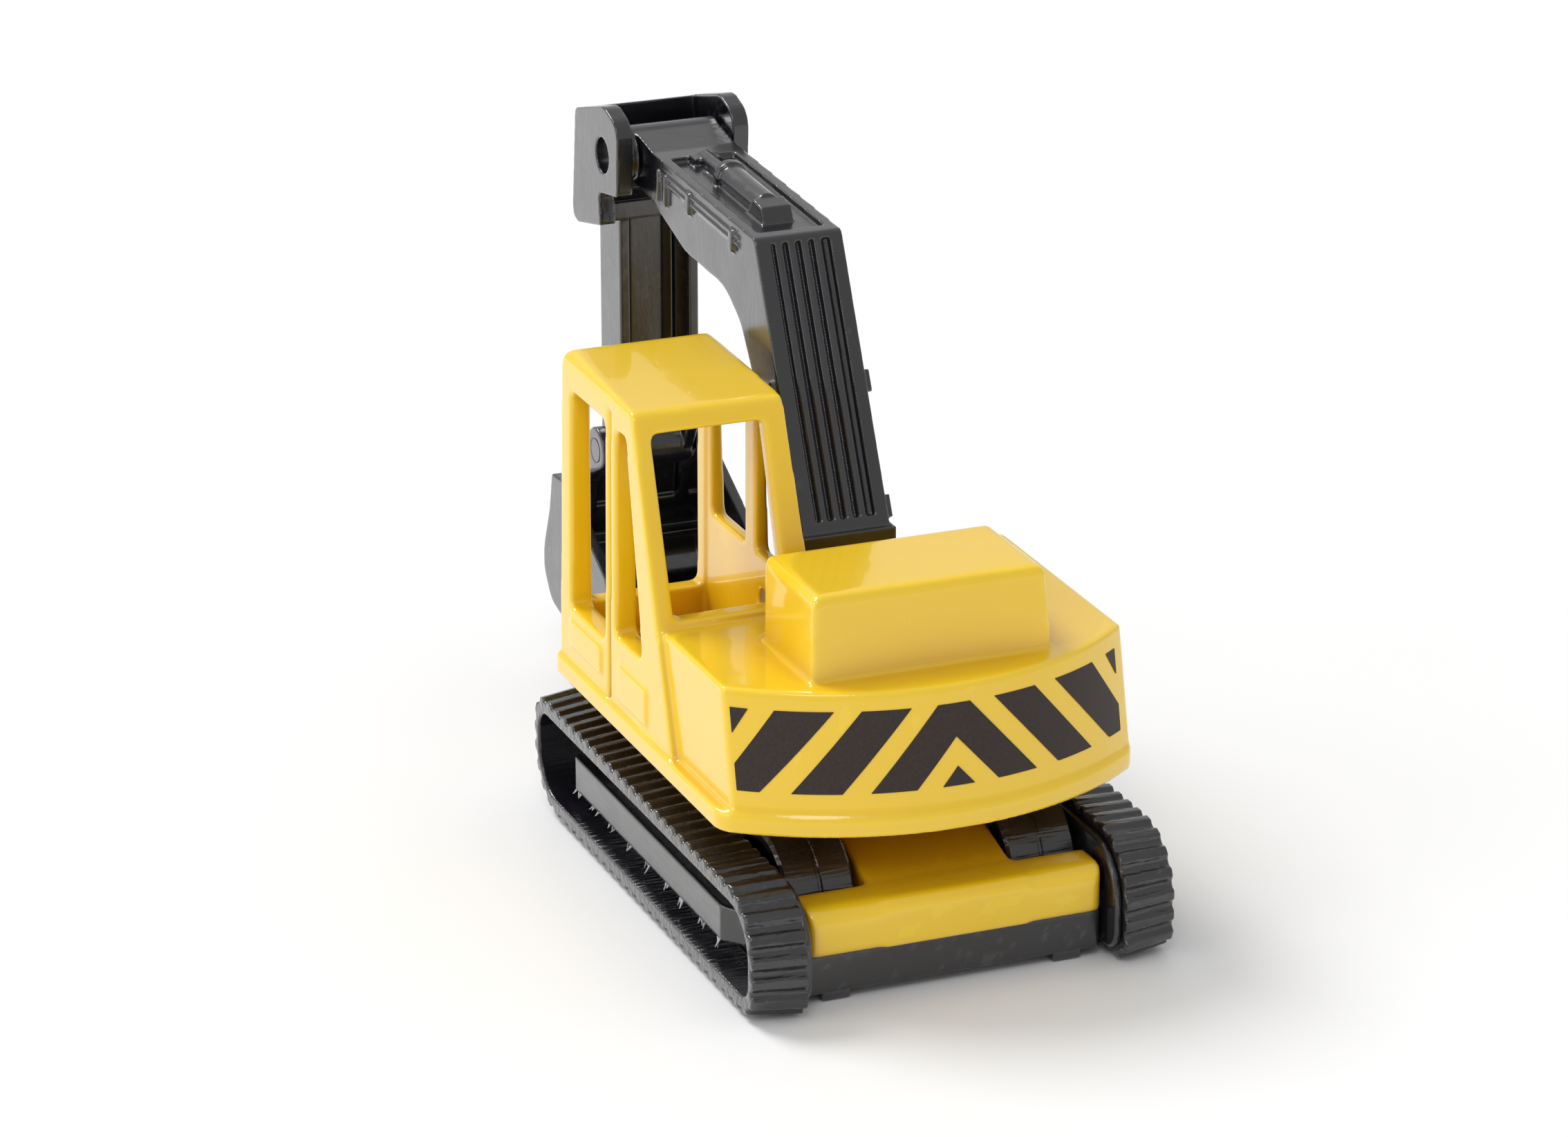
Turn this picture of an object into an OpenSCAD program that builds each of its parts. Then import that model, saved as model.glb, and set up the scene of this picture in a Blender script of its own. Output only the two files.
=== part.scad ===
// Pocket toy excavator: a die-cast upper on a die-cast undercarriage with two rigid
// track loops, four rolling wheels, and a moulded boom, arm and bucket on steel pins.
// Millimetres. +X is forward, +Y is the cab's side, +Z is up. The origin is on the
// floor, under the middle of the whole toy's length and width.
// Inside the modules, x is measured from the slew axis, and place() moves it.

/* [Tracks] */
// Width over both track loops
span = 35; // [34.5:0.1:36]
// Width of one loop
track_w = 4.4; // [4.2:0.1:4.6]
// Length of a loop
track_l = 49.2; // [48.8:0.1:49.6]
// Height of a loop
track_h = 10.2; // [10:0.1:10.4]
// Wall of a loop without its tread bars
track_wall = 1.3; // [1.1:0.1:1.4]
// Number of tread bars round a loop
tread_count = 62; // [50:2:70]
// Height of a tread bar
tread_depth = 0.38; // [0.2:0.02:0.4]
// Gap between a loop and the floor, so that the toy rolls on its wheels
track_gap = 0.15; // [0.1:0.05:0.3]

/* [Wheels and axles] */
// Radius of a rolling wheel
wheel_r = 5.3; // [5.2:0.05:5.35]
// Width of a rolling wheel
wheel_w = 5.7; // [5.2:0.1:5.8]
// Distance of each axle from the slew axis
axle_x = 12.4; // [12.2:0.1:12.6]
// Radius of an axle
axle_r = 0.8; // [0.7:0.05:0.85]

/* [Upper casting] */
// Height of the skirt's lower edge above the floor
skirt_z = 13.1; // [12.8:0.1:13.3]
// Height of the rear deck above the floor
deck_z = 24.1; // [24:0.1:24.4]
// Height of the hood above the floor
hood_z = 30.7; // [30:0.1:31]
// Height of the rear of the cab's roof above the floor; its front is 0.7 higher
roof_z = 40; // [39.8:0.1:40.4]
// Width of the deck
deck_w = 33.3; // [33:0.1:33.5]

/* [Boom, arm and bucket] */
// Distance of the boom's middle plane from the slew axis, to the right
boom_y = 1; // [0.9:0.05:1.1]
// Width of the boom
boom_w = 7.4; // [7:0.1:7.5]
// Width of the arm
arm_w = 7; // [6.8:0.1:7.1]
// Width over the arm's two ears
ears_w = 11.6; // [11.4:0.1:12]
// Width of the bucket
bucket_w = 14.8; // [14:0.1:15.2]

/* [Fits] */
// Radial clearance of every turning pin
run = 0.05; // [0.03:0.01:0.08]

/* [Hidden] */
$fn = 48;

yellow = [0.98, 0.78, 0.13];
black = [0.13, 0.13, 0.14];
grey = [0.25, 0.25, 0.26];
steel = [0.7, 0.7, 0.72];

// Slew axis, measured from the middle of the toy's length
slew_x = -13.75;
// Undercarriage
track_y = span / 2 - track_w;
// Size of a loop's outer face as a share of its inner face, along X and along Z
track_taper = [0.972, 0.935];
frame_z = 4;
frame_half = 6;
beam_y = 12.2;
base_z = 0.8;
base_x = 21.6;
turret_z = 11.8;
rivet_r = 1.5;
wheel_y = 6.4;
// Pivots, as [x, z]
boom_at = [5.4, 22.2];
arm_at = [39.7, 49.3];
bucket_at = [46.2, 21.3];
boom_pin_r = 1;
arm_pin_r = 1.5;
bucket_pin_r = 1;
// Cab's rear face leans: x grows by this much for each millimetre of height
lean = 0.3525;
cab_rear_top = 3;
cab_y = [3.3, 16.9];
// Counterweight: a cone about an upright axis at this x
tail_x = 4;
tail_r = 26.55;
tail_top_r = 24.85;
rim_z = 14.6;
// The deck and the arm's ears sit a little off their middle planes
deck_y = -0.35;
ears_y = 0.4;

// Points of a rounded corner at p between its neighbours a and b
function unit(v) = v / norm(v);
function fillet(a, p, b, r, n) =
    let (u = unit(a - p), v = unit(b - p), half = acos(u * v) / 2)
    let (c = p + unit(u + v) * r / sin(half))
    let (s = p + u * r / tan(half) - c, e = p + v * r / tan(half) - c)
    let (from = atan2(s[1], s[0]), d = atan2(e[1], e[0]) - from)
    let (sweep = d > 180 ? d - 360 : d < -180 ? d + 360 : d)
    [for (i = [0:n]) c + r * [cos(from + sweep * i / n), sin(from + sweep * i / n)]];

// An outline with its corners rounded by r, one number or one for each corner
function rounded(pts, r, n = 5) =
    [for (i = [0:len(pts) - 1])
        let (k = len(pts), ri = is_list(r) ? r[i] : r)
        each ri > 0 ? fillet(pts[(i + k - 1) % k], pts[i], pts[(i + 1) % k], ri, n) : [pts[i]]];

// Length of a closed outline, and the point and direction at a distance s along it
function perimeter(p, i = 0) =
    i == len(p) ? 0 : norm(p[(i + 1) % len(p)] - p[i]) + perimeter(p, i + 1);
function along(p, s, i = 0) =
    let (a = p[i % len(p)], b = p[(i + 1) % len(p)], d = norm(b - a))
    s <= d ? [a + (b - a) * s / d, unit(b - a)] : along(p, s - d, i + 1);

module place() translate([slew_x, 0, 0]) children();

// Extrudes an X-Z profile from y0 to y1
module side(y0, y1) translate([0, y1, 0]) rotate([90, 0, 0]) linear_extrude(y1 - y0) children();

// Extrudes a Y-Z profile from x0 to x1
module across(x0, x1) translate([x0, 0, 0]) rotate([90, 0, 90]) linear_extrude(x1 - x0) children();

// A box from its low corner to its high corner
module block(low, high) translate(low) cube(high - low);

// A cylinder along Y from y0 to y1 at [x, z]
module bar(at, r, y0, y1) translate([at[0], y1, at[1]]) rotate([90, 0, 0]) cylinder(r = r, h = y1 - y0);

module both_sides() {
    children();
    mirror([0, 1, 0]) children();
}

// Height of the cab's leaning rear face at z
function cab_rear(z) = cab_rear_top - (roof_z - z) * lean;

// ---- Undercarriage ----

module chassis_frame() color(yellow) place() {
    spine = [[-22.3, frame_z], [22.3, frame_z], [22.3, 7.2], [21.6, 7.9], [18.6, 8],
             [9, 10.6], [-9, 10.6], [-18.6, 8], [-21.6, 7.9], [-22.3, 7.2]];
    beam = rounded([[18.2, frame_z], [22.3, frame_z], [22.3, 7.9], [18.2, 7.9]], [0, 0.5, 1.4, 0.6]);
    beam_plan = rounded([[17, -beam_y], [22.3, -beam_y], [22.3, beam_y], [17, beam_y]], [0, 0.9, 0.9, 0]);
    difference() {
        union() {
            side(-frame_half, frame_half) polygon(spine);
            for (turn = [0, 180]) rotate([0, 0, turn]) intersection() {
                side(-beam_y, beam_y) polygon(beam);
                translate([0, 0, frame_z]) linear_extrude(5) polygon(beam_plan);
            }
            translate([0, 0, 10]) cylinder(r = 6.5, h = turret_z - 10);
            for (x = [-16.8, 16.8]) translate([x, 0, base_z]) cylinder(r = 1.2, h = 4);
            for (x = [-16.8, 16.8]) translate([x, 0, base_z]) cylinder(r = 1.8, h = 0.4);
        }
        translate([0, 0, 3]) cylinder(r = rivet_r + run, h = 10);
        for (x = [-axle_x, axle_x]) {
            bar([x, wheel_r], axle_r + run, -7, 7);
            block([x - axle_r - run, -7, 3], [x + axle_r + run, 7, wheel_r]);
        }
    }
}

module base_plate() color(black) place() difference() {
    union() {
        block([-base_x, -frame_half, base_z], [base_x, frame_half, base_z + 1]);
        for (x = [-base_x, 18.4]) block([x, -beam_y, base_z], [x + 3.2, beam_y, frame_z]);
        block([-6.4, -beam_y, base_z], [6.4, beam_y, frame_z]);
        for (x = [-axle_x, axle_x]) {
            block([x - 1.5, -5.4, base_z], [x + 1.5, 5.4, frame_z]);
            block([x - 0.75, -5.4, base_z], [x + 0.75, 5.4, wheel_r - axle_r - run]);
        }
    }
    translate([0, 0, base_z + 1]) cylinder(r = 3.2, h = 4);
    for (x = [-16.8, 16.8]) translate([x, 0, 0]) cylinder(r = 1.2, h = 3);
    for (x = [-16.8, 16.8]) translate([x, 0, 0]) cylinder(r = 1.8, h = base_z + 0.4);
    for (y = [-10.2, 6.6]) block([-5, y, base_z - 1], [5, y + 3.6, base_z + 1.6]);
}

// Outline of a loop, g inside its full size: the rear top and front bottom are large curves
function loop_outline(g) =
    let (x = track_l / 2 - g, low = track_gap + g, high = track_h - g)
    rounded([[-x, low], [x, low], [x, high], [-x, high]],
            [1.9 - g / 4, 5.4 - g, 2.3 - g / 4, 5.4 - g], 9);

function tread_outline() =
    let (core = loop_outline(tread_depth), pitch = perimeter(core) / tread_count)
    [for (k = [0:tread_count - 1], t = [[0, 0], [0.16, 1], [0.58, 1], [0.74, 0]])
        let (w = along(core, (k + t[0]) * pitch), out = [w[1][1], -w[1][0]])
        w[0] + out * t[1] * tread_depth];

// The right loop; the mould's draft makes its outer face smaller
module loop() {
    middle = (track_h + track_gap) / 2;
    difference() {
        translate([0, -track_y, middle]) rotate([90, 0, 0])
            linear_extrude(track_w, scale = track_taper, slices = 1)
                translate([0, -middle]) polygon(tread_outline());
        side(-span / 2 - 1, -track_y + 1) polygon(loop_outline(tread_depth + track_wall));
    }
}

// The right side frame: a web behind the loop, a core inside it, and the plank
module side_frame() {
    side(-track_y, -track_y + 0.6) polygon(loop_outline(0.9));
    side(-track_y - 1.1, -track_y) polygon(loop_outline(tread_depth + track_wall));
    translate([0, 0, 3.2]) linear_extrude(2.9)
        polygon([[-17.4, -track_y - 1.1], [-14.4, -span / 2 + 1.2], [17.6, -span / 2 + 1.2],
                 [19.6, -track_y - 1.1]]);
    block([-6.4, -track_y, 1.2], [6.4, -beam_y, frame_z]);
}

module track_left() color(black) place() mirror([0, 1, 0]) loop();
module track_right() color(black) place() loop();
module side_frame_left() color(grey) place() mirror([0, 1, 0]) side_frame();
module side_frame_right() color(grey) place() side_frame();

module axle(x) color(steel) place() bar([x, wheel_r], axle_r, -wheel_y - wheel_w, wheel_y + wheel_w);
module front_axle() axle(axle_x);
module rear_axle() axle(-axle_x);

// A wheel with a raised middle rib and a recessed outer face; y0 is its inner face
module wheel(x, mirrored) color(black) place() translate([x, 0, wheel_r])
    mirror([0, mirrored, 0]) translate([0, wheel_y, 0]) rotate([-90, 0, 0])
    rotate_extrude($fn = 64) polygon([[axle_r, 0], [2, 0], [2.2, 0.5], [4.3, 0.5],
        [4.5, 0], [wheel_r - 0.25, 0], [wheel_r, 0.25], [wheel_r, 2.6], [wheel_r - 0.12, 2.7],
        [wheel_r - 0.12, 2.9], [wheel_r, 3], [wheel_r, wheel_w - 0.25], [wheel_r - 0.25, wheel_w],
        [4.5, wheel_w], [4.3, wheel_w - 0.8], [2.2, wheel_w - 0.8], [2, wheel_w], [axle_r, wheel_w]]);
module wheel_front_left() wheel(axle_x, 0);
module wheel_front_right() wheel(axle_x, 1);
module wheel_rear_left() wheel(-axle_x, 0);
module wheel_rear_right() wheel(-axle_x, 1);

module slew_rivet() color(steel) place() {
    translate([0, 0, 3]) cylinder(r = rivet_r, h = 13);
    translate([0, 0, 2.6]) cylinder(r = 2.6, h = 0.9);
}

// ---- Upper casting ----

function yz_taper(low, high, z0, z1) = [[low[0], z0], [low[1], z0], [high[1], z1], [high[0], z1]];

module hood() intersection() {
    side(-12, 12) polygon(rounded([[-17, deck_z - 1], [-5.2, deck_z - 1], [-5.8, hood_z],
                                   [-16.2, hood_z]], [0, 0, 0.9, 0.7]));
    across(-18, -4) polygon(rounded(yz_taper([-10.1, 9.9], [-9.6, 9.4], deck_z - 1, hood_z),
                                    [0, 0, 0.8, 0.8]));
    linear_extrude(40) polygon(rounded([[-17, -10.2], [-5.2, -10.2], [-5.2, 10], [-17, 10]],
                                       [1, 1, 3.2, 0.7]));
}

module tail_block() {
    left = deck_y + deck_w / 2;
    right = deck_y - deck_w / 2;
    deck = [[-30, right], [8.6, right], [8.6, -5.6], [-1.6, -5.6], [-1.6, left], [-30, left]];
    // The skirt's sides meet the round tail at the corners; from there its outline runs along tangents
    skirt_y = span / 2 - 0.2;
    skirt_r = tail_r + 0.3;
    corner_x = sqrt(skirt_r * skirt_r - skirt_y * skirt_y);
    skirt = [[tail_x - corner_x, -skirt_y], [9.4, -skirt_y], [9.4, 3], [19.6, 3], [19.6, skirt_y],
             [tail_x - corner_x, skirt_y], [tail_x - skirt_r * skirt_r / corner_x, 0]];
    intersection() {
        translate([0, 0, rim_z]) linear_extrude(deck_z - rim_z)
            polygon(rounded(deck, [0, 1.4, 0, 0, 0, 0]));
        tail_cone(0);
    }
    intersection() {
        translate([0, 0, skirt_z]) linear_extrude(rim_z - skirt_z + 0.2)
            polygon(rounded(skirt, [2.6, 1.4, 0, 1, 1, 2.6, 0]));
        union() {
            translate([tail_x, 0, skirt_z]) cylinder(r = skirt_r, h = rim_z - skirt_z, $fn = 96);
            translate([tail_x, 0, rim_z]) cylinder(r = skirt_r - 0.15, h = 0.2, $fn = 96);
        }
    }
    block([-1.7, -5.7, rim_z], [8.6, 3.6, 17]);
}

// The cone that shapes the tail, grown by g
module tail_cone(g) translate([tail_x, 0, rim_z])
    cylinder(r1 = tail_r + g, r2 = tail_top_r + g, h = deck_z - rim_z, $fn = 96);

module cab_shell() {
    outline = rounded([[cab_rear(rim_z), rim_z], [cab_rear_top, roof_z], [18.7, roof_z + 0.7], [19.1, rim_z]],
                      [0, 1, 1.2, 0]);
    inside = [[-0.7, 16], [-0.7, 24.6], [cab_rear(38.8) + 1.5, 38.8], [17, 38.8], [17.4, 16]];
    difference() {
        intersection() {
            side(0, 20) polygon(outline);
            across(-10, 22) polygon(rounded(yz_taper(cab_y, [4.1, 16.6], rim_z, roof_z + 0.8), [0, 0, 1.4, 1]));
        }
        side(4.9, 14.9) polygon(inside);
        // left door window and left rear window
        side(14.8, 18) polygon(rounded([[8.9, 19.4], [16.7, 19.4], [16.6, 37.6], [8.9, 37.6]], 0.8));
        side(14.8, 18) polygon(rounded([[0.7, 20.6], [6.6, 20.6], [6.6, 37.6], [4.4, 37.6]],
                                       [0.8, 0.8, 0.8, 0.6]));
        // right windows
        side(2, 5) polygon(rounded([[9.1, 25.9], [16.2, 25.9], [16.2, 37.4], [9.1, 37.4]], 0.6));
        side(2, 5) polygon(rounded([[2.2, 25.9], [6.8, 25.9], [6.8, 37.4], [5, 37.4]], [0.5, 0.5, 0.6, 0.4]));
        // rear window and windscreen
        across(-4.4, 4.8) polygon(rounded([[5.9, 24.7], [15.2, 24.7], [15.2, 38.3], [5.9, 38.3]], 0.5));
        across(16.4, 20) polygon(rounded([[5.1, 19.4], [14.8, 19.4], [14.8, 38], [5.1, 38]], 0.6));
        // door groove on the left side
        block([7.6, 16.3, skirt_z - 1], [8.05, 18, 38.9]);
    }
    // door panels
    side(16.2, 17.1) polygon(rounded([[9.4, 16.4], [16.5, 16.4], [16.5, 18.5], [9.4, 18.5]], 0.2));
    side(16.2, 17.1) polygon(rounded([[-0.6, 15.7], [5.5, 15.7], [5.5, 18.5], [-0.6, 18.5]], 0.2));
}

module upper_body() color(yellow) place() difference() {
    union() {
        tail_block();
        hood();
        cab_shell();
        translate([0, 0, turret_z + 0.1]) cylinder(r = 5.5, h = skirt_z - turret_z);
    }
    translate([0, 0, 10]) cylinder(r = rivet_r, h = 6);
    bar(boom_at, boom_pin_r, -9.4, 6);
}

// The printed stripes, as [y, z] outlines on one half of the tail
stripe_top = 22.7;
stripe_low = 16.5;
stripe_end = 15.9;
module hazard_print() color(black) place() intersection() {
    difference() {
        tail_cone(0.06);
        tail_cone(0);
    }
    across(-30, -5) {
        polygon([[-6.8, stripe_low], [-3.35, stripe_low], [0, 20.2], [3.35, stripe_low],
                 [6.8, stripe_low], [1.3, stripe_top], [-1.3, stripe_top]]);
        polygon([[-1.3, stripe_low], [1.3, stripe_low], [0, 17.95]]);
        for (s = [-1, 1]) scale([s, 1]) {
            polygon([[12.4, stripe_low], [8.9, stripe_low], [3.4, stripe_top], [7.1, stripe_top]]);
            polygon([[stripe_end, stripe_low], [14.5, stripe_low], [9.1, stripe_top],
                     [13.1, stripe_top], [stripe_end, 18.5]]);
            polygon([[stripe_end, stripe_top], [stripe_end, 20.8], [14.8, stripe_top]]);
        }
    }
}

// ---- Boom, arm and bucket; y is measured from the boom's middle plane ----

module digger() place() translate([0, -boom_y, 0]) children();

knee = [12.3, 49.7];
heel = [2.2, 28.3];
back_l = norm(knee - heel);
top_l = 22;
top_lean = 2.3;

// Puts +X along the boom's top edge, from the knee, with +Z out of the top face
module on_top() translate([knee[0], 0, knee[1]]) rotate([0, -top_lean, 0]) children();

// Puts +X up the boom's back face, from the heel, with +Z out of the back face
module on_back() translate([heel[0], 0, heel[1]])
    rotate([0, -atan2(knee[1] - heel[1], knee[0] - heel[0]), 0]) children();

module boom_plate(half) side(-half, half)
    polygon(rounded([heel, knee, [34.7, 50.6], [39.7, 51.5], [41.6, 49.3], [39.7, 47], [34.8, 46.5],
                     [27.4, 44.3], [18.8, 44], [15.4, 42], [13.3, 39.1], [7.1, 29.7], [8.2, 22.2],
                     [5.4, 19.4], [2.6, 21.4]],
                    [0.4, 0.7, 3, 1.6, 2, 1.6, 3, 6, 6, 4, 6, 6, 2.4, 2.4, 2]));

module boom() color(black) digger() difference() {
    half = boom_w / 2;
    union() {
        difference() {
            boom_plate(half);
            // sunk strips between the edge rails
            on_top() block([1.5, -2.75, -0.45], [top_l - 1.5, 2.75, 2]);
            on_back() block([1, -2.6, -0.5], [back_l - 0.5, 2.4, 2]);
        }
        // lengthwise ribs of the back face
        on_back() for (y = [-1.6:1.1:1.8]) translate([0.8, y, -0.42]) rotate([0, 90, 0])
            cylinder(r = 0.42, h = back_l - 1.1, $fn = 24);
        // foot barrel and the bar above it
        bar(boom_at, 2.75, -4, 4);
        block([1.6, -4, 27.1], [3.4, 4, 28.4]);
        // moulded cylinder: end block, barrel, collar, rod
        on_top() {
            side(-1.3, 1.3) polygon([[4, -0.6], [4.6, 0.8], [6.4, 1], [7.6, -0.6]]);
            translate([6.5, 0, 0.1]) rotate([0, 90, 0]) cylinder(r = 1.15, h = 8);
            translate([14, 0, 0.1]) rotate([0, 90, 0]) cylinder(r = 1.4, h = 0.9);
            translate([14, 0, -0.1]) rotate([0, 90, 0]) cylinder(r = 0.7, h = 6.4);
            block([19.2, -1.2, -0.6], [20.6, 1.2, 0.2]);
        }
        // pipes and clips on both flanks
        both_sides() {
            for (z = [-0.9, -1.5]) on_top() translate([3, half, z]) rotate([0, 90, 0])
                cylinder(r = 0.2, h = top_l - 4.5, $fn = 16);
            on_top() for (x = [4, 13.4]) block([x, half - 0.2, -2.4], [x + 0.8, half + 0.35, -0.6]);
            on_top() for (x = [18.6, 20.2]) block([x, half - 0.2, -3.4], [x + 0.5, half + 0.35, -0.8]);
            on_back() for (x = [0.7, 10.7]) block([x, half - 0.2, -1.4], [x + 1.8, half + 0.5, -0.3]);
        }
        bar(arm_at, 2.25, -half, 4.4);
    }
    bar(boom_at, boom_pin_r + run, -5, 5);
    bar(arm_at, arm_pin_r + run, -5, 5);
}

module boom_pin() color(steel) digger() bar(boom_at, boom_pin_r, -8.2, 5.6);
module arm_pin() color(black) digger() bar(arm_at, arm_pin_r, ears_y + 0.8 - ears_w / 2, ears_y - 0.8 + ears_w / 2);
module bucket_pin() color(steel) digger() bar(bucket_at, bucket_pin_r, -4.7, 4.7);

module arm() color(black) digger() {
    half = arm_w / 2;
    wide = ears_w / 2;
    ear = rounded([[46.1, 51.7], [39.3, 53.6], [36.1, 52.6], [36.3, 46.6], [40.6, 45.9], [40.3, 43.1],
                   [47.1, 41.6]], [0.8, 2.4, 1.8, 0.6, 0.6, 0.3, 1.2]);
    difference() {
        union() {
            // ears, front web and shoulder
            translate([0, ears_y, 0]) {
                for (y = [-wide, wide - 1.4]) side(y, y + 1.4) polygon(ear);
                side(-wide, wide) polygon(rounded([[44.9, 42.2], [46.9, 42], [46.1, 51.7], [44.8, 52]],
                                                  [0, 0.6, 0.6, 0]));
                side(0.8 - wide, wide - 0.8) polygon([[41.6, 42.9], [46.4, 41.9], [46.6, 44.6], [41.6, 44.6]]);
            }
            // channel: two flanges with a web in front, and an eye at the lower end
            both_sides() side(half - 0.85, half) polygon(rounded([[42.9, 43], [42.9, 23.6], [44.2, 21.3],
                [46.2, 19.4], [48, 21.3], [47.8, 24], [47.8, 43]], [0, 1.5, 1.4, 1.7, 1.4, 1.5, 0]));
            block([46.7, -half, 23], [47.8, half, 42]);
            bar(bucket_at, 1.9, -half, half);
            block([46, -1.5, 23.4], [47, 1.5, 43]);
            // moulded bucket cylinder on the front
            translate([48.2, 0, 29.5]) cylinder(r = 1.05, h = 9);
            translate([48.2, 0, 29]) cylinder(r = 1.3, h = 0.9);
            translate([48.2, 0, 24.5]) cylinder(r = 0.6, h = 5);
            block([47.2, -1.3, 37.6], [49.4, 1.3, 40]);
        }
        bar(arm_at, arm_pin_r, -9, 9);
        bar(bucket_at, bucket_pin_r + run, -5, 5);
    }
}

module bucket() color(black) digger() {
    half = bucket_w / 2;
    wall = 0.9;
    outer = rounded([[47.3, 18.5], [36.9, 13.2], [36.2, 11.2], [42, 6.7], [47.5, 6], [50.4, 6.6],
                     [52.1, 9], [52.1, 11], [50.5, 15], [49.8, 18.4]],
                    [0, 0.6, 0.4, 5, 3, 2.5, 2, 4, 4, 0.3]);
    hollow = rounded([[46, 21], [32, 17], [35, 12.8], [42.3, 7.7], [47.4, 6.9], [49.9, 7.5],
                      [51.2, 9.2], [51.2, 10.8], [49.6, 14.8], [48.9, 18.5], [48.8, 21]],
                     [0, 0, 0, 4.2, 2.4, 1.8, 1.4, 3.4, 3.4, 0, 0]);
    ear = [[48.9, 14.6], [50.2, 15.2], [49.7, 18.4], [48.1, 21.9], [44.6, 22], [44.5, 20.2], [47.6, 18]];
    difference() {
        union() {
            difference() {
                side(-half, half) polygon(outer);
                side(wall - half, half - wall) polygon(hollow);
            }
            both_sides() side(3.75, 4.7) polygon(ear);
            both_sides() bar(bucket_at, 2, 3.75, 4.7);
            // stiffening ribs inside the back
            for (z = [11.2, 14.6]) block([49.2, -half + 0.5, z], [51.3 - (z - 11) * 0.3, half - 0.5, z + 0.6]);
            // teeth on the lip
            for (i = [-2:2]) translate([0, i * 3.2, 0]) side(-0.65, 0.65)
                polygon([[38.4, 9.2], [35, 11.5], [34.3, 12.9], [36.2, 12.4], [39.6, 9.9]]);
        }
        bar(bucket_at, bucket_pin_r, -5, 5);
    }
}

chassis_frame();
base_plate();
track_left();
track_right();
side_frame_left();
side_frame_right();
front_axle();
rear_axle();
wheel_front_left();
wheel_front_right();
wheel_rear_left();
wheel_rear_right();
slew_rivet();
upper_body();
hazard_print();
boom_pin();
boom();
arm_pin();
arm();
bucket_pin();
bucket();
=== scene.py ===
import math
import random

import bmesh
import bpy
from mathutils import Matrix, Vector


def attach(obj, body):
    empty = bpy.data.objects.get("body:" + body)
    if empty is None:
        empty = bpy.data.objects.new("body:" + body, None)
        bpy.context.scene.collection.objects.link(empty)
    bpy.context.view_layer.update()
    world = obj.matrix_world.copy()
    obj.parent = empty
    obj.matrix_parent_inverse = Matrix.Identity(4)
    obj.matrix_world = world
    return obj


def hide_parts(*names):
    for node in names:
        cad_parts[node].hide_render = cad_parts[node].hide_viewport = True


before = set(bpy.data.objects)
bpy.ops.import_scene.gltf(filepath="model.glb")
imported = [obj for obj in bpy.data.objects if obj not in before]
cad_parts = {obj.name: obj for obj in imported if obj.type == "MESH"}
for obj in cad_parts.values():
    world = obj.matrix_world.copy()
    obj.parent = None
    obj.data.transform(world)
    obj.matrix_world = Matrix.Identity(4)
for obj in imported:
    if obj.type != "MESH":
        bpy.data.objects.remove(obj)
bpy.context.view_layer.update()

# Millimetres to metres. Lengths are in mm, except where a comment says metres.
MM = 0.001

# Rounding of edges: how close corners are welded first, and how far one pass of smoothing moves them
WELD = 0.001
SMOOTH_FACTOR = 0.5

# Slivers of plastic on the lower outer edge of the long plank in each track loop
PLANK_Y = 16.3
PLANK_LOW = 3.2
FLASH_FROM = -28.0
FLASH_STEP = 3.9
FLASH_SPOTS = 9
FLASH_PER_SPOT = 3
FLASH_SEED = 5
# How deep a sliver's root sits inside the plank, inwards and upwards
FLASH_ROOT = (0.12, 0.05)
FLASH_THICKNESS = 0.1
# How far a sliver's tip bends away from straight, forwards and outwards
FLASH_BEND = (0.15, 0.1)
# Rings of corners along a sliver: how far along it, and the share of its full width there
FLASH_RINGS = ((0, 1), (0.5, 0.7), (1, 0.25))

# Lumps under the base plate's corners
FEET_X = (-34.5, 7.0)
FEET_Y = 9.6
FOOT_SIZE = (1.3, 2.4, 0.9)
FOOT_MIDDLE_Z = 0.5
FOOT_ROUNDING = 0.22

# Floor, world and camera. The floor's size and the camera's place, aim and near limit are in metres.
FLOOR_HALF = 3
FLOOR_COLOUR = (0.9, 0.9, 0.9, 1)
FLOOR_ROUGHNESS = 0.6
WORLD_STRENGTH = 0.6
SENSOR_WIDTH = 36
CAMERA_LENS = 132
CAMERA_NEAR = 0.01
CAMERA_PLACE = Vector((-0.40055, 0.1627, 0.1839))
CAMERA_AIM = Vector((0.01545, -0.00669, 0.01501))


# ---- Shader parts ----

def new_material(name):
    """A new material, with its nodes, its links and its surface shader."""
    material = bpy.data.materials.new(name)
    material.use_nodes = True
    nodes = material.node_tree.nodes
    return material, nodes, material.node_tree.links, nodes["Principled BSDF"]


def noise(nodes, links, scale_mm, detail, roughness=0.5, drawn_out=(1, 1, 1)):
    """Noise in the object's own space, with features about scale_mm wide, drawn out along each axis."""
    place = nodes.new("ShaderNodeTexCoord")
    stretch = nodes.new("ShaderNodeMapping")
    stretch.inputs["Scale"].default_value = [1 / times for times in drawn_out]
    texture = nodes.new("ShaderNodeTexNoise")
    texture.inputs["Scale"].default_value = 1.0 / (scale_mm * MM)
    texture.inputs["Detail"].default_value = detail
    texture.inputs["Roughness"].default_value = roughness
    links.new(place.outputs["Object"], stretch.inputs["Vector"])
    links.new(stretch.outputs["Vector"], texture.inputs["Vector"])
    return texture.outputs["Fac"]


def spread(nodes, links, value, low, high, from_low=0.3, from_high=0.7):
    """Maps a value onto low..high. The default range is where most of a noise's values lie."""
    node = nodes.new("ShaderNodeMapRange")
    node.inputs["From Min"].default_value = from_low
    node.inputs["From Max"].default_value = from_high
    node.inputs["To Min"].default_value = low
    node.inputs["To Max"].default_value = high
    links.new(value, node.inputs["Value"])
    return node.outputs["Result"]


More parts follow.
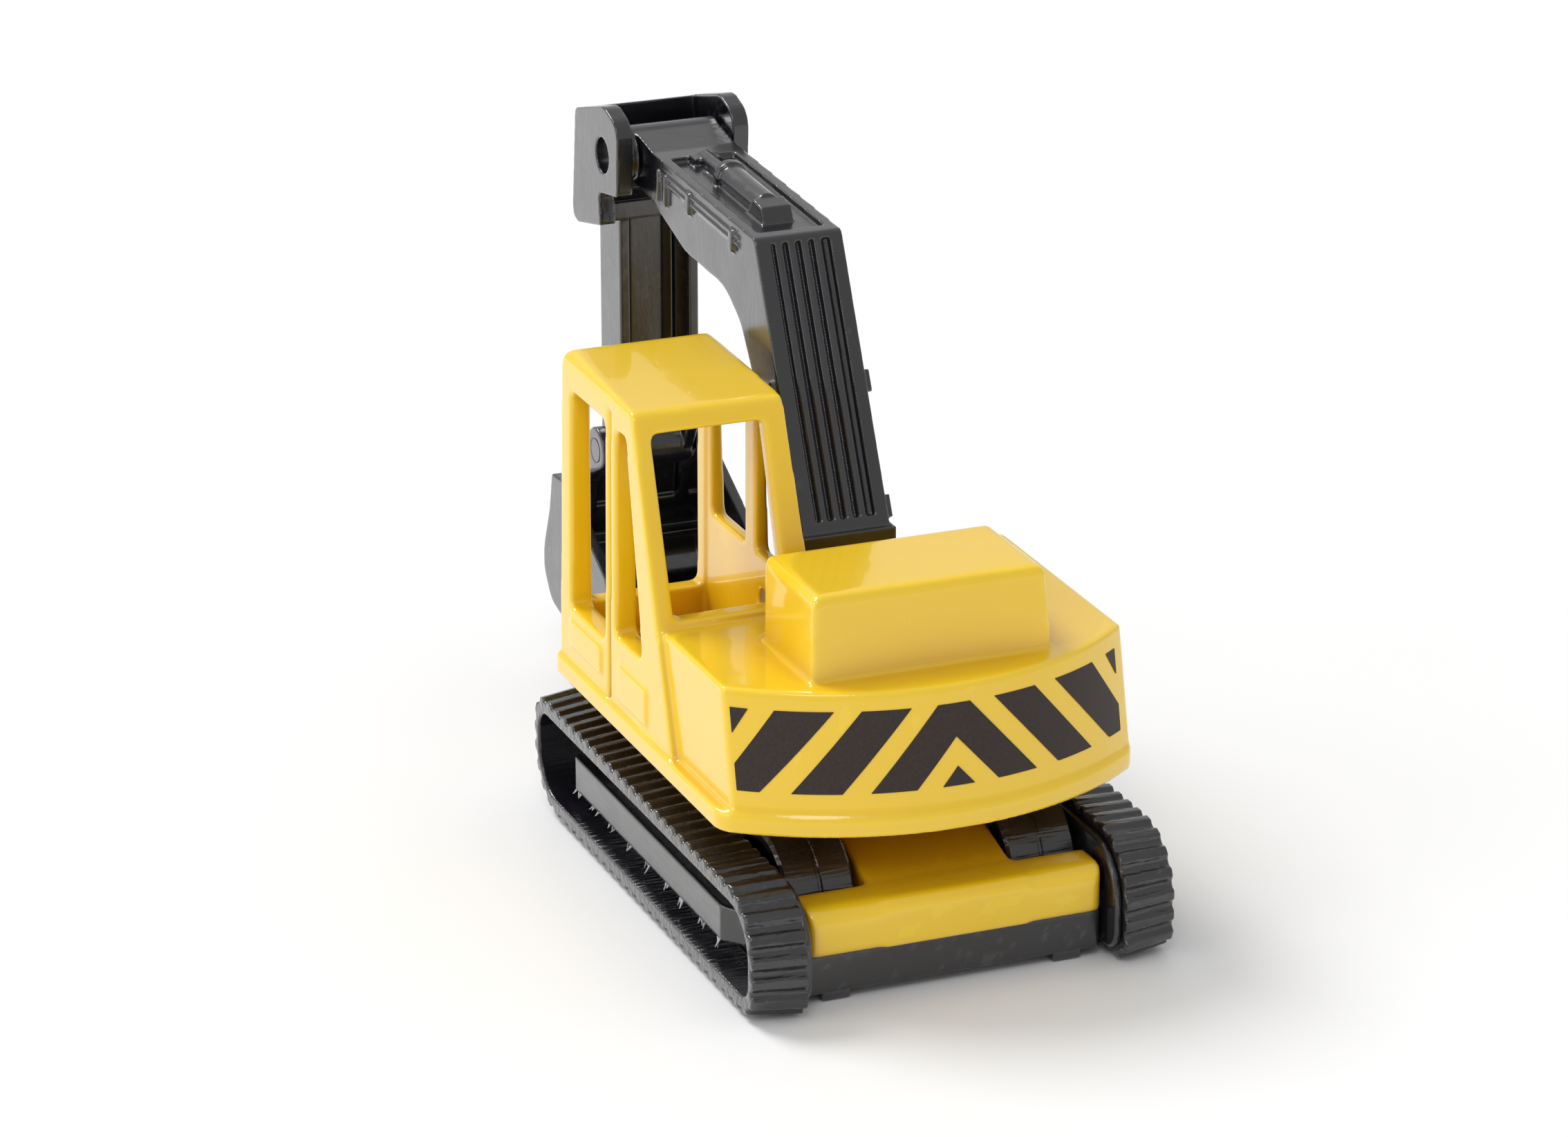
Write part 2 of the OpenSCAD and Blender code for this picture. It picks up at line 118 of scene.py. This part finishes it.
def two_tone(nodes, links, value, first, second):
    """Goes from the colour first to second as value goes from 0 to 1. Second may be a node's output."""
    mix = nodes.new("ShaderNodeMix")
    mix.data_type = "RGBA"
    mix.inputs["A"].default_value = (*first, 1)
    if isinstance(second, tuple):
        mix.inputs["B"].default_value = (*second, 1)
    else:
        links.new(second, mix.inputs["B"])
    links.new(value, mix.inputs["Factor"])
    return mix.outputs["Result"]


def bump(nodes, links, value, height_mm, strength, under=None):
    """The normal of a surface raised by value, laid over the normal under."""
    node = nodes.new("ShaderNodeBump")
    node.inputs["Distance"].default_value = height_mm * MM
    node.inputs["Strength"].default_value = strength
    links.new(value, node.inputs["Height"])
    if under is not None:
        links.new(under, node.inputs["Normal"])
    return node.outputs["Normal"]


def gloss(links, shader, normal, roughness):
    """Gives a surface its normal, and a clear top coat that follows it."""
    links.new(normal, shader.inputs["Normal"])
    links.new(normal, shader.inputs["Coat Normal"])
    shader.inputs["Coat Weight"].default_value = 0.8
    shader.inputs["Coat Roughness"].default_value = roughness


# ---- Materials ----

def enamel():
    """Thick glossy enamel: slow waves and orange peel. Its colour is darker in creases and under and
    between parts, partly deeper pooled paint and partly painted shade.
    """
    material, nodes, links, shader = new_material("yellow_enamel")
    drift = spread(nodes, links, noise(nodes, links, 9.0, 2), 0, 1)
    base = two_tone(nodes, links, drift, (0.90, 0.60, 0.012), (0.92, 0.62, 0.016))
    # Darker orange in concave creases: partly pooled paint, partly painted shade
    edges = nodes.new("ShaderNodeNewGeometry").outputs["Pointiness"]
    proud = spread(nodes, links, edges, 0.0, 1.0, 0.44, 0.52)
    crease_shaded = two_tone(nodes, links, proud, (0.82, 0.46, 0.004), base)
    # Ambient occlusion darkens the paint to deep brown under and between parts: painted shade, partly
    # deeper pooled paint
    painted_shade_ao = nodes.new("ShaderNodeAmbientOcclusion")
    painted_shade_ao.samples = 8
    painted_shade_ao.inputs["Distance"].default_value = 7 * MM
    open_air = spread(nodes, links, painted_shade_ao.outputs["AO"], 0.0, 1.0, 0.12, 0.8)
    links.new(two_tone(nodes, links, open_air, (0.42, 0.15, 0.002), crease_shaded), shader.inputs["Base Color"])
    links.new(spread(nodes, links, noise(nodes, links, 6.0, 2), 0.22, 0.28), shader.inputs["Roughness"])
    waves = bump(nodes, links, noise(nodes, links, 5.0, 1), 0.12, 0.35)
    peel = bump(nodes, links, noise(nodes, links, 0.5, 2), 0.006, 0.3, waves)
    gloss(links, shader, peel, 0.04)
    return material


def plastic(name, dark, rubbed, rough, sink, drawn_out=(1, 1, 1), lines=0.0):
    """Moulded plastic: sink marks, flow lines, grain, gloss patches and paler rubbed edges. Sink and
    lines are depths in mm, and drawn_out says along which axis the flow lines run."""
    material, nodes, links, shader = new_material(name)
    edges = nodes.new("ShaderNodeNewGeometry").outputs["Pointiness"]
    worn = spread(nodes, links, edges, 0.0, 1.0, 0.53, 0.68)
    links.new(two_tone(nodes, links, worn, dark, rubbed), shader.inputs["Base Color"])
    patches = noise(nodes, links, 3.0, 4, 0.6)
    links.new(spread(nodes, links, patches, *rough), shader.inputs["Roughness"])
    sunk = bump(nodes, links, noise(nodes, links, 3.5, 1), sink, 0.5)
    flow = bump(nodes, links, noise(nodes, links, 0.45, 2, 0.5, drawn_out), lines, 0.8, sunk)
    grain = bump(nodes, links, noise(nodes, links, 0.4, 3, 0.6), 0.012, 0.5, flow)
    shader.inputs["Specular IOR Level"].default_value = 0.6
    gloss(links, shader, grain, 0.2)
    return material


def speckled(name, grain_mm, detail, dark, light, rough):
    """A material with a fine speckle in its colour, its roughness and its surface."""
    material, nodes, links, shader = new_material(name)
    speck = noise(nodes, links, grain_mm, detail, 0.7)
    tint = spread(nodes, links, speck, 0, 1)
    links.new(two_tone(nodes, links, tint, dark, light), shader.inputs["Base Color"])
    links.new(spread(nodes, links, speck, *rough), shader.inputs["Roughness"])
    links.new(bump(nodes, links, speck, 0.01, 0.4), shader.inputs["Normal"])
    return material, shader


def print_ink():
    """Thin black-brown ink with a fine screen grain."""
    material, shader = speckled("black_print", 0.25, 3, (0.022, 0.014, 0.012), (0.04, 0.026, 0.02),
                                rough=(0.4, 0.55))
    shader.inputs["Specular IOR Level"].default_value = 0.35
    return material


def steel():
    """Plain drawn wire, finely scuffed."""
    material, shader = speckled("steel", 0.15, 5, (0.42, 0.42, 0.44), (0.6, 0.6, 0.62),
                                rough=(0.25, 0.45))
    shader.inputs["Metallic"].default_value = 1.0
    return material


ENAMEL = enamel()
BLACK = plastic("black_plastic", (0.005, 0.005, 0.008), (0.03, 0.03, 0.037),
                rough=(0.16, 0.3), sink=0.06, drawn_out=(1, 1, 3), lines=0.015)
TRACK = plastic("track_plastic", (0.006, 0.005, 0.008), (0.035, 0.033, 0.041),
                rough=(0.18, 0.32), sink=0.09, drawn_out=(1, 12, 1), lines=0.12)
GREY = plastic("grey_plastic", (0.01, 0.011, 0.013), (0.04, 0.04, 0.05),
               rough=(0.14, 0.26), sink=0.06, drawn_out=(9, 1, 1), lines=0.04)
FLASH = plastic("flash_plastic", (0.12, 0.12, 0.13), (0.3, 0.3, 0.32), rough=(0.2, 0.35), sink=0.02)
INK = print_ink()
STEEL = steel()


# ---- Making objects ----

def add_object(name, data):
    """A new object in the scene."""
    made = bpy.data.objects.new(name, data)
    bpy.context.scene.collection.objects.link(made)
    return made


def soften(node, voxel_mm, passes, material, body, keep):
    """A copy of a CAD node with its edges rounded off, as moulding and paint leave them. It stands
    for the node. Keep is the share of its triangles that stay."""
    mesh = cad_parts[node].data.copy()
    work = bmesh.new()
    work.from_mesh(mesh)
    bmesh.ops.remove_doubles(work, verts=work.verts, dist=WELD * MM)
    work.to_mesh(mesh)
    work.free()
    piece = add_object(node + "_skin", mesh)
    remesh = piece.modifiers.new("cells", "REMESH")
    remesh.mode = "VOXEL"
    remesh.voxel_size = voxel_mm * MM
    smooth = piece.modifiers.new("round", "SMOOTH")
    smooth.factor = SMOOTH_FACTOR
    smooth.iterations = passes
    fewer = piece.modifiers.new("fewer", "DECIMATE")
    fewer.ratio = keep
    graph = bpy.context.evaluated_depsgraph_get()
    done = bpy.data.meshes.new_from_object(piece.evaluated_get(graph))
    piece.modifiers.clear()
    piece.data = done
    done.materials.clear()
    done.materials.append(material)
    done.shade_smooth()
    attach(piece, body)
    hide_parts(node)


def dress(node, material):
    """Gives a CAD node that keeps its own mesh its finished material."""
    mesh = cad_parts[node].data
    mesh.materials.clear()
    mesh.materials.append(material)


def add_detail(name, work, material):
    """A small new piece on the undercarriage, made from the bmesh work, which it uses up."""
    mesh = bpy.data.meshes.new(name)
    work.to_mesh(mesh)
    work.free()
    mesh.materials.append(material)
    piece = add_object(name, mesh)
    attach(piece, "undercarriage")
    return piece


def add_sliver(work, foot, reach, width, side):
    """One thin, tapered and bent sliver, from foot along reach, on the left (1) or right (-1) side."""
    rings = []
    for t, taper in FLASH_RINGS:
        middle = foot + reach * t + Vector((FLASH_BEND[0] * t * t, FLASH_BEND[1] * t, 0))
        ring = []
        for across, thick in ((-0.5, -0.5), (0.5, -0.5), (0.5, 0.5), (-0.5, 0.5)):
            at = middle + Vector((across * width * taper, thick * FLASH_THICKNESS * taper, 0))
            ring.append(work.verts.new((at.x * MM, side * at.y * MM, at.z * MM)))
        rings.append(ring)
    for lower, upper in zip(rings, rings[1:]):
        for k in range(4):
            work.faces.new((lower[k], lower[k - 3], upper[k - 3], upper[k]))
    work.faces.new(rings[0][::-1])
    work.faces.new(rings[-1])


def flash(hand, side):
    """Thin slivers of plastic left hanging along the plank's lower edge, where the mould halves met."""
    dice = random.Random(FLASH_SEED)
    work = bmesh.new()
    for spot in range(FLASH_SPOTS):
        for _ in range(FLASH_PER_SPOT):
            x = FLASH_FROM + spot * FLASH_STEP + dice.uniform(-0.7, 0.7)
            foot = Vector((x, PLANK_Y - FLASH_ROOT[0], PLANK_LOW + FLASH_ROOT[1]))
            reach = Vector((dice.uniform(-0.45, 0.45), dice.uniform(-0.1, 0.25), -dice.uniform(0.3, 0.9)))
            width = dice.uniform(0.15, 0.4)
            add_sliver(work, foot, reach, width, side)
    bmesh.ops.recalc_face_normals(work, faces=work.faces)
    add_detail("flash_" + hand, work, FLASH)


def feet():
    """Small moulded lumps under the base plate, one near each corner."""
    work = bmesh.new()
    for x in FEET_X:
        for y in (-FEET_Y, FEET_Y):
            made = bmesh.ops.create_cube(work, size=MM)["verts"]
            bmesh.ops.scale(work, vec=FOOT_SIZE, verts=made)
            bmesh.ops.translate(work, vec=(x * MM, y * MM, FOOT_MIDDLE_Z * MM), verts=made)
    bmesh.ops.bevel(work, geom=work.edges[:], offset=FOOT_ROUNDING * MM, segments=3,
                    affect="EDGES", profile=0.5)
    add_detail("plate_feet", work, BLACK).data.shade_smooth()


def far_light(name, towards, strength, softness_deg):
    """A distant soft light that shines from the direction towards."""
    data = bpy.data.lights.new(name, "SUN")
    data.energy = strength
    data.angle = math.radians(softness_deg)
    lamp = add_object(name, data)
    lamp.rotation_euler = Vector(towards).to_track_quat("Z", "Y").to_euler()


# ---- The toy ----

soften("upper_body", 0.15, 20, ENAMEL, "upper", 0.3)
# About 50 passes here would close the casting's bores onto the axles and the rivet
soften("chassis_frame", 0.16, 30, ENAMEL, "undercarriage", 0.5)
for link in ("boom", "arm", "bucket"):
    soften(link, 0.12, 2, BLACK, link + "_body", 0.5)
for hand in ("left", "right"):
    soften("track_" + hand, 0.12, 2, TRACK, "undercarriage", 0.5)
    soften("side_frame_" + hand, 0.14, 2, GREY, "undercarriage", 0.4)
    for end in ("front", "rear"):
        dress(f"wheel_{end}_{hand}", TRACK)
soften("base_plate", 0.14, 4, BLACK, "undercarriage", 0.4)
dress("hazard_print", INK)
for pin in ("front_axle", "rear_axle", "slew_rivet", "boom_pin"):
    dress(pin, STEEL)
for pin in ("arm_pin", "bucket_pin"):
    dress(pin, BLACK)
flash("left", 1)
flash("right", -1)
feet()


# ---- Studio ----

floor_mesh = bpy.data.meshes.new("floor")
floor_corners = [(x * FLOOR_HALF, y * FLOOR_HALF, 0) for x, y in ((-1, -1), (1, -1), (1, 1), (-1, 1))]
floor_mesh.from_pydata(floor_corners, [], [(0, 1, 2, 3)])
paper, _, _, paper_shader = new_material("pale_floor")
paper_shader.inputs["Base Color"].default_value = FLOOR_COLOUR
paper_shader.inputs["Roughness"].default_value = FLOOR_ROUGHNESS
floor_mesh.materials.append(paper)
floor = add_object("floor", floor_mesh)

world = bpy.data.worlds.new("studio")
world.use_nodes = True
background = world.node_tree.nodes["Background"]
background.inputs["Color"].default_value = (1, 1, 1, 1)
background.inputs["Strength"].default_value = WORLD_STRENGTH
bpy.context.scene.world = world
bpy.context.scene.view_settings.view_transform = "Standard"

far_light("key", (0.75, 0.4, 1), strength=1.75, softness_deg=25)
far_light("behind", (-0.6, 0.3, 0.75), strength=0.4, softness_deg=20)
far_light("left_side", (0, 1, 0.35), strength=0.55, softness_deg=40)

camera_data = bpy.data.cameras.new("camera")
camera_data.sensor_width = SENSOR_WIDTH
camera_data.lens = CAMERA_LENS
camera_data.clip_start = CAMERA_NEAR
camera = add_object("camera", camera_data)
camera.location = CAMERA_PLACE
camera.rotation_euler = (CAMERA_AIM - CAMERA_PLACE).to_track_quat("-Z", "Y").to_euler()
bpy.context.scene.camera = camera
